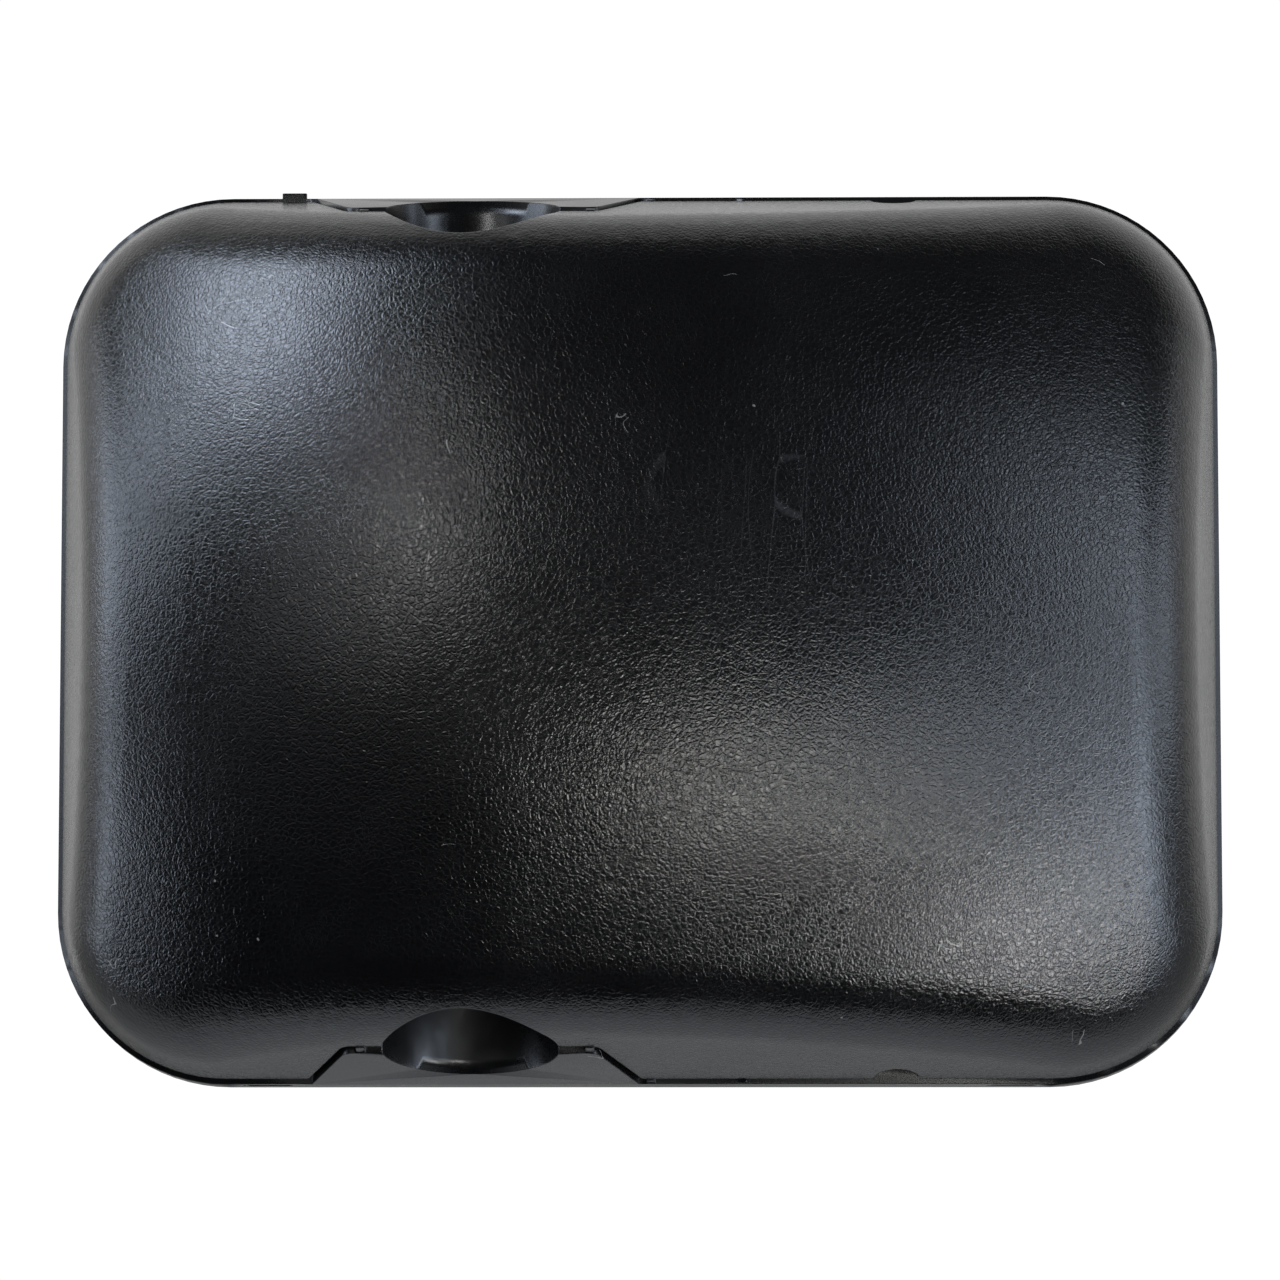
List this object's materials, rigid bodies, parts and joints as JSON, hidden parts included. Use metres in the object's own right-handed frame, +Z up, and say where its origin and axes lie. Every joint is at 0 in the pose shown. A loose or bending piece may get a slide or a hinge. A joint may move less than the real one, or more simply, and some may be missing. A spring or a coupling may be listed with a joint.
{
  "type": "vehicle rear-view mirror head",
  "caption": "Rear-view mirror head with a deep grained rear cover, shallow front frame and convex glass, gripped on a vertical round tube by a split tilt barrel inside.",
  "frame": {"origin": "centre of the tube clamp's bore, on the tube's axis and halfway up the head", "axes": "+Z up along the tube, +Y out of the mirror glass, -Y out of the domed rear cover, +X towards the head's long, shallow end"},
  "size_m": [0.2078, 0.0639, 0.1603],
  "materials": {
    "grained_plastic": "moulded black, fine leather grain, satin",
    "smooth_plastic": "moulded black, fine satin",
    "spring_steel": "blued spring steel",
    "brass": "turned",
    "cast_aluminium": "die-cast, tumbled",
    "zinc_steel": "zinc plated",
    "pin_steel": "ground",
    "filled_plastic": "moulded black, coarse matt",
    "foam_tape": "foam tape",
    "mirror_glass": "silvered convex glass",
    "gasket_rubber": "extruded, dull",
    "barrel_nylon": "glass-filled nylon",
    "sleeve_acetal": "natural acetal"
  },
  "bodies": {
    "tube_sleeve": {"sleeve_half_front": "sleeve_acetal", "sleeve_half_rear": "sleeve_acetal"},
    "tilt_barrel": {"barrel_half_front": "barrel_nylon", "barrel_half_rear": "barrel_nylon", "barrel_dowels": "pin_steel"},
    "head": {"front_frame": "smooth_plastic", "threaded_inserts": "brass", "clamp_saddle": "cast_aluminium", "clamp_yoke": "cast_aluminium", "clamp_bolts": "zinc_steel", "clamp_washers": "zinc_steel", "clamp_spring_washers": "zinc_steel", "clamp_nuts": "zinc_steel", "saddle_screws": "zinc_steel", "plate_screws": "zinc_steel", "glass_backing_plate": "filled_plastic", "adhesive_pad": "foam_tape", "mirror_glass": "mirror_glass", "edge_gasket": "gasket_rubber"},
    "cover": {"rear_cover": "grained_plastic", "cover_clips": "spring_steel"}
  },
  "joints": [
    {"name": "swivel", "type": "hinge", "parent": "tube_sleeve", "child": "tilt_barrel", "pos_m": [0, 0, 0], "axis": [0, 0, 1], "continuous": true},
    {"name": "head_tilt", "type": "hinge", "parent": "tilt_barrel", "child": "head", "pos_m": [0, 0, 0], "axis": [1, 0, 0], "range_deg": [-3, 3]},
    {"name": "cover_unclip", "type": "slide", "parent": "head", "child": "cover", "axis": [0, -1, 0], "range_m": [0, 0.08]}
  ]
}
